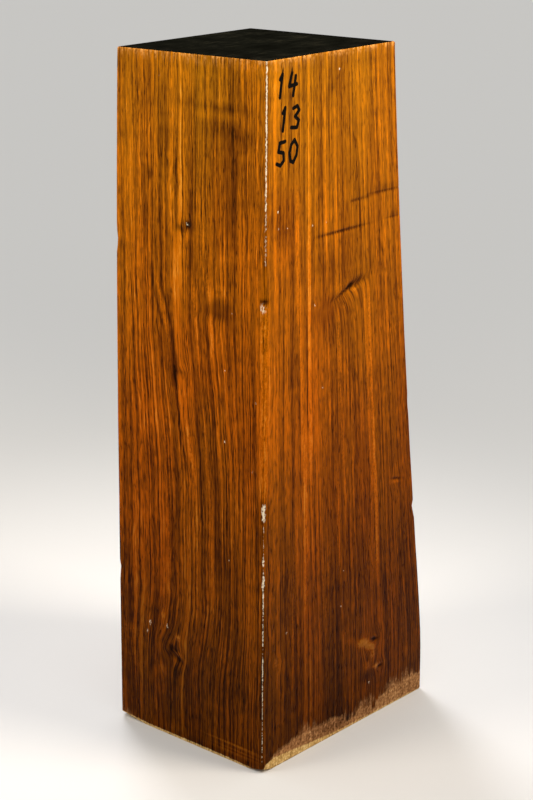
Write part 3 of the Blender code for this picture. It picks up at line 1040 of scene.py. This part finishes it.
def makeOiledWalnut():
    look = oiledWalnut
    material, tree, shader = newMaterial("oiledWalnut")
    grain = addNode(tree, "ShaderNodeAttribute", out="Vector", attribute_name="grain")
    field = {}
    for name in ("figure", "contrast", "redness", "worn", "bare", "thinOil", "rim", "fray", "ink"):
        field[name] = addNode(tree, "ShaderNodeAttribute", out="Fac", attribute_name=name)

    # noise drawn out along the grain
    pattern = {}
    for number, (name, (sizes, detail)) in enumerate(look["patterns"].items()):
        moved = [step * number for step in look["patternStep"]]
        parts = {"Vector": grain, "Location": moved, "Scale": [1 / size for size in sizes]}
        drawnOut = addNode(tree, "ShaderNodeMapping", parts)
        parts = {"Vector": drawnOut, "Scale": 1.0, "Detail": detail, "Roughness": look["patternRoughness"]}
        pattern[name] = addNode(tree, "ShaderNodeTexNoise", parts)
    parts = {0: pattern["fuzz"], 1: look["wornFuzz"], 2: field["worn"]}
    brokenWearAndGlints = addNode(tree, "ShaderNodeMath", parts, operation="MULTIPLY_ADD")
    sources = {**field, **pattern, "brokenWearAndGlints": brokenWearAndGlints}
    shown = {}
    for name, (source, start, full) in look["shows"].items():
        parts = {"Value": sources[source], "From Min": start, "From Max": full}
        shown[name] = addNode(tree, "ShaderNodeMapRange", parts)

    # marks that lighten and darken the wood, each with its strength
    marks = [(pattern[name], strength * 2) for name, strength in look["strengths"].items()]

    # the fine grain shows strongly in some places and hardly in others
    fineGrain = -sum(look["fineStrengths"].values())
    for name, strength in look["fineStrengths"].items():
        parts = {0: pattern[name], 1: strength * 2, 2: fineGrain}
        fineGrain = addNode(tree, "ShaderNodeMath", parts, operation="MULTIPLY_ADD")
    weakest, strongest = look["breaks"]
    parts = {0: pattern["breaks"], 1: strongest - weakest, 2: weakest}
    breaks = addNode(tree, "ShaderNodeMath", parts, operation="MULTIPLY_ADD")
    fineGrain = addNode(tree, "ShaderNodeMath", {0: fineGrain, 1: breaks}, operation="MULTIPLY")
    marks.append((fineGrain, 1.0))

    # pale streaks and torn knots are rougher than the wood round them
    pale = addNode(tree, "ShaderNodeMath", {0: field["figure"], 1: 0.0}, operation="MAXIMUM")
    mottle = addNode(tree, "ShaderNodeMath", {0: pattern["fuzz"], 1: 0.5}, operation="SUBTRACT")
    mottle = addNode(tree, "ShaderNodeMath", {0: mottle, 1: pale}, operation="MULTIPLY")
    marks.append((mottle, look["mottle"]))

    # growth rings: each starts on a thin dark line, turns light and darkens again
    outwards = addNode(tree, "ShaderNodeSeparateXYZ", {0: grain}, out="X")
    phase = addNode(tree, "ShaderNodeMath", {0: outwards, 1: 1 / look["ringWidth"]}, operation="MULTIPLY")
    parts = {0: pattern["bands"], 1: look["ringWander"], 2: phase}
    phase = addNode(tree, "ShaderNodeMath", parts, operation="MULTIPLY_ADD")
    within = addNode(tree, "ShaderNodeMath", {0: phase}, operation="FRACT")
    stops = [(position, (value, value, value, 1)) for position, value in look["ringLine"]]
    ring = addNode(tree, "ShaderNodeValToRGB", {"Fac": within}, stops=stops)
    ring = addNode(tree, "ShaderNodeMath", {0: ring, 1: 0.5}, operation="SUBTRACT")
    ring = addNode(tree, "ShaderNodeMath", {0: ring, 1: shown["ringLines"]}, operation="MULTIPLY")
    marks.append((ring, look["ringTone"] * 2))
    whole = addNode(tree, "ShaderNodeMath", {0: phase}, operation="FLOOR")
    ownTone = addNode(tree, "ShaderNodeTexWhiteNoise", {"W": whole}, noise_dimensions="1D")
    marks.append((ownTone, look["ringToRing"]))

    offMiddle = addNode(tree, "ShaderNodeMath", {0: pattern["hairLines"], 1: 0.5}, operation="SUBTRACT")
    offMiddle = addNode(tree, "ShaderNodeMath", {0: offMiddle}, operation="ABSOLUTE")
    parts = {"Value": offMiddle, "From Max": look["hairLineWidth"], "To Min": 1.0, "To Max": 0.0}
    hairLine = addNode(tree, "ShaderNodeMapRange", parts)
    marks += [(hairLine, look["hairLineTone"]), (shown["pores"], look["poreTone"])]

    tone = field["figure"]
    for mark, strength in marks:
        parts = {0: mark, 1: strength, 2: tone}
        tone = addNode(tree, "ShaderNodeMath", parts, operation="MULTIPLY_ADD")

    # from its own middle, the tone spreads by the contrast of its place
    middle = sum(look["strengths"].values()) + look["ringToRing"] / 2
    tone = addNode(tree, "ShaderNodeMath", {0: tone, 1: middle}, operation="SUBTRACT")
    parts = {0: tone, 1: field["contrast"], 2: 0.5}
    tone = addNode(tree, "ShaderNodeMath", parts, operation="MULTIPLY_ADD")

    # height up the blank, for the painted shade that darkens the wood towards the foot
    place = addNode(tree, "ShaderNodeTexCoord", out="Object")
    up = addNode(tree, "ShaderNodeSeparateXYZ", {0: place}, out="Z")
    height = addNode(tree, "ShaderNodeMath", {0: up, 1: boxSize.z}, operation="DIVIDE")
    fuzzShare, shift, grainShare = look["raw"]
    parts = {0: pattern["fuzz"], 1: fuzzShare, 2: shift}
    raw = addNode(tree, "ShaderNodeMath", parts, operation="MULTIPLY_ADD")
    raw = addNode(tree, "ShaderNodeMath", {0: tone, 1: grainShare, 2: raw}, operation="MULTIPLY_ADD")
    ramp = {}
    for name, value in (("tones", tone), ("heights", height), ("bare", raw), ("rim", raw)):
        stops = [(position, rgba(hexColour)) for position, hexColour in look[name]]
        ramp[name] = addNode(tree, "ShaderNodeValToRGB", {"Fac": value}, stops=stops)

    parts = {0: shown["redder"], 1: field["redness"]}
    redder = addNode(tree, "ShaderNodeMath", parts, operation="ADD", use_clamp=True)
    olive, red = (rgba(hexColour) for hexColour in look["hues"])
    hue = addNode(tree, "ShaderNodeMix", {"Factor": redder, 6: olive, 7: red}, out=2, data_type="RGBA")
    colour = ramp["tones"]
    # the tone is multiplied by the painted shade of the heights ramp, darker towards the foot, and by the
    # hue
    for tint in (ramp["heights"], hue):
        parts = {"Factor": 1.0, 6: colour, 7: tint}
        colour = addNode(tree, "ShaderNodeMix", parts, out=2, data_type="RGBA", blend_type="MULTIPLY")

    # the foot: bare wood, its edge ragged along the fibres, thin oil above it, a splintered rim below
    cover = {}
    for layer, (ragged, soft) in look["ragged"].items():
        edge = field[layer]
        for name, share in (("tufts", 1.0), ("lines", look["raggedLines"])):
            parts = {0: pattern[name], 1: ragged * share, 2: edge}
            edge = addNode(tree, "ShaderNodeMath", parts, operation="MULTIPLY_ADD")
        middle = ragged * (1 + look["raggedLines"]) / 2
        parts = {"Value": edge, "From Min": middle - look["raggedStart"], "From Max": middle + soft}
        cover[layer] = addNode(tree, "ShaderNodeMapRange", parts, interpolation_type="SMOOTHSTEP")
    parts = {0: cover["thinOil"], 1: shown["patchyOil"]}
    cover["thinOil"] = addNode(tree, "ShaderNodeMath", parts, operation="MULTIPLY")

    # worn arrises, pale and dry, with the painted highlight along the near arris and painted glints, and
    # the frayed edge of the top saw cut
    parts = {0: shown["wornPatches"], 1: shown["rubbed"]}
    worn = addNode(tree, "ShaderNodeMath", parts, operation="MULTIPLY")
    parts = {0: shown["tufts"], 1: shown["flakes"]}
    tufts = addNode(tree, "ShaderNodeMath", parts, operation="MULTIPLY")
    frayed = addNode(tree, "ShaderNodeMath", {0: field["fray"], 1: tufts}, operation="MULTIPLY")
    coats = (
        (cover["thinOil"], ramp["bare"]),
        (cover["bare"], ramp["bare"]),
        (cover["rim"], ramp["rim"]),
        (frayed, rgba(look["frayed"])),
        (worn, rgba(look["worn"])),
        (shown["ink"], rgba(look["ink"])),
    )
    for share, coat in coats:
        parts = {"Factor": share, 6: colour, 7: coat}
        colour = addNode(tree, "ShaderNodeMix", parts, out=2, data_type="RGBA")
    tree.links.new(colour, shader.inputs["Base Color"])

    spread = look["roughnessSpread"]
    parts = {0: pattern["clouds"], 1: spread, 2: look["roughness"] - spread / 2}
    rough = addNode(tree, "ShaderNodeMath", parts, operation="MULTIPLY_ADD")
    dry = addNode(tree, "ShaderNodeMath", {0: cover["bare"], 1: worn}, operation="MAXIMUM")
    for part, more in ((shown["pores"], look["poresRougher"]), (dry, look["dryRougher"])):
        rough = addNode(tree, "ShaderNodeMath", {0: part, 1: more, 2: rough}, operation="MULTIPLY_ADD")
    tree.links.new(rough, shader.inputs["Roughness"])
    shader.inputs["IOR"].default_value = look["ior"]
    shader.inputs["Specular IOR Level"].default_value = look["specular"]
    shader.inputs["Specular Tint"].default_value = rgba(look["specularTint"])

    # the pores are sunk and the fine grain stands up a little
    fine = addNode(tree, "ShaderNodeMath", {0: shown["pores"], 1: -1.0}, operation="MULTIPLY")
    for name, share in look["bumpShares"].items():
        parts = {0: pattern[name], 1: share, 2: fine}
        fine = addNode(tree, "ShaderNodeMath", parts, operation="MULTIPLY_ADD")
    strength, depth = look["bump"]
    parts = {"Strength": strength, "Distance": depth * mm, "Height": fine}
    tree.links.new(addNode(tree, "ShaderNodeBump", parts), shader.inputs["Normal"])
    return material


# End sealer: black wax emulsion brushed over the top saw cut, nearly opaque, with a dull sheen
endSealer = {
    "strokes": (9.0, 1.6),  # mm along a brush stroke and across it
    "strokeTurn": 0.35,  # radians
    "blotches": 22.0,  # mm
    "shows": (0.12, 0.45),  # strokes times blotches, at the darkest and at the palest tone
    "tones": ((0.0, "#060604"), (0.5, "#0D0D09"), (1.0, "#1D1B13")),
    "roughness": 0.8,
    "bump": (0.4, 0.4),  # strength, and mm
    "facing": 0.8,  # how squarely a face looks up that the sealer covers
}


def makeEndSealer():
    look = endSealer
    material, tree, shader = newMaterial("endSealerWax")
    place = addNode(tree, "ShaderNodeTexCoord", out="Object")
    long, wide = look["strokes"]
    scale = (1 / (long * mm), 1 / (wide * mm), 1)
    parts = {"Vector": place, "Rotation": (0, 0, look["strokeTurn"]), "Scale": scale}
    brushed = addNode(tree, "ShaderNodeMapping", parts)
    mixed = 1.0
    for where, scale in ((brushed, 1.0), (place, 1 / (look["blotches"] * mm))):
        parts = {"Vector": where, "Scale": scale, "Detail": 3.0}
        noise = addNode(tree, "ShaderNodeTexNoise", parts)
        mixed = addNode(tree, "ShaderNodeMath", {0: noise, 1: mixed}, operation="MULTIPLY")
    darkest, palest = look["shows"]
    parts = {"Value": mixed, "From Min": darkest, "From Max": palest}
    tone = addNode(tree, "ShaderNodeMapRange", parts)
    stops = [(position, rgba(hexColour)) for position, hexColour in look["tones"]]
    colour = addNode(tree, "ShaderNodeValToRGB", {"Fac": tone}, stops=stops)
    tree.links.new(colour, shader.inputs["Base Color"])
    shader.inputs["Roughness"].default_value = look["roughness"]
    shader.inputs["Specular IOR Level"].default_value = 0.0
    strength, depth = look["bump"]
    parts = {"Strength": strength, "Distance": depth * mm, "Height": mixed}
    tree.links.new(addNode(tree, "ShaderNodeBump", parts), shader.inputs["Normal"])
    return material


# The map that the looks are baked on: the four sides as strips, with the two ends above them
bakeMap = {
    "spare": 1.02,  # its width over the four sides together
    "endsApart": 1.1,
    "aboveSides": 1.01,
    "endFacing": 0.7,  # how squarely a face looks up or down that belongs to an end
}


def layOutMap(blank):
    side = boxSize.x * 2 + boxSize.y * 2
    scale = 1 / (side * bakeMap["spare"])
    starts = {"front": 0.0, "right": boxSize.x, "back": boxSize.x + boxSize.y}
    starts["left"] = starts["back"] + boxSize.x
    layer = blank.data.uv_layers.new(name="OFBake")
    verts = blank.data.vertices
    loops = blank.data.loops
    for polygon in blank.data.polygons:
        nx, ny, nz = polygon.normal
        for index in polygon.loop_indices:
            place = verts[loops[index].vertex_index].co
            x, y = place.x - leftPlane, place.y - frontPlane
            if abs(nz) > bakeMap["endFacing"]:
                u = x + (0 if nz > 0 else boxSize.x * bakeMap["endsApart"])
                v = y + boxSize.z * bakeMap["aboveSides"]
            elif abs(ny) > abs(nx):
                u = x + starts["front"] if ny < 0 else boxSize.x - x + starts["back"]
                v = place.z
            else:
                u = y + starts["right"] if nx > 0 else boxSize.y - y + starts["left"]
                v = place.z
            layer.data[index].uv = (u * scale, v * scale)


def finishBlank(blank, rings):
    wrapOntoSolid(blank)
    paintFields(blank, rings)
    shapeRelief(blank, rings)
    layOutMap(blank)
    blank.data.materials.append(makeOiledWalnut())
    blank.data.materials.append(makeEndSealer())
    for polygon in blank.data.polygons:
        polygon.material_index = 1 if polygon.normal.z > endSealer["facing"] else 0
    bpy.ops.object.shade_smooth_by_angle(angle=math.radians(blankMesh["smoothAngle"]))
    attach(blank, "root")
    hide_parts("walnut_blank")
    print("blank: finished,", len(blank.data.polygons), "faces")


addCamera()
addStudio()
walnutBlank, blankRings = makeFineBlank()
cutFinerBesideArrises(blankRings)
cutFinerAtMarks()
bpy.ops.object.mode_set(mode="OBJECT")
finishBlank(walnutBlank, blankRings)
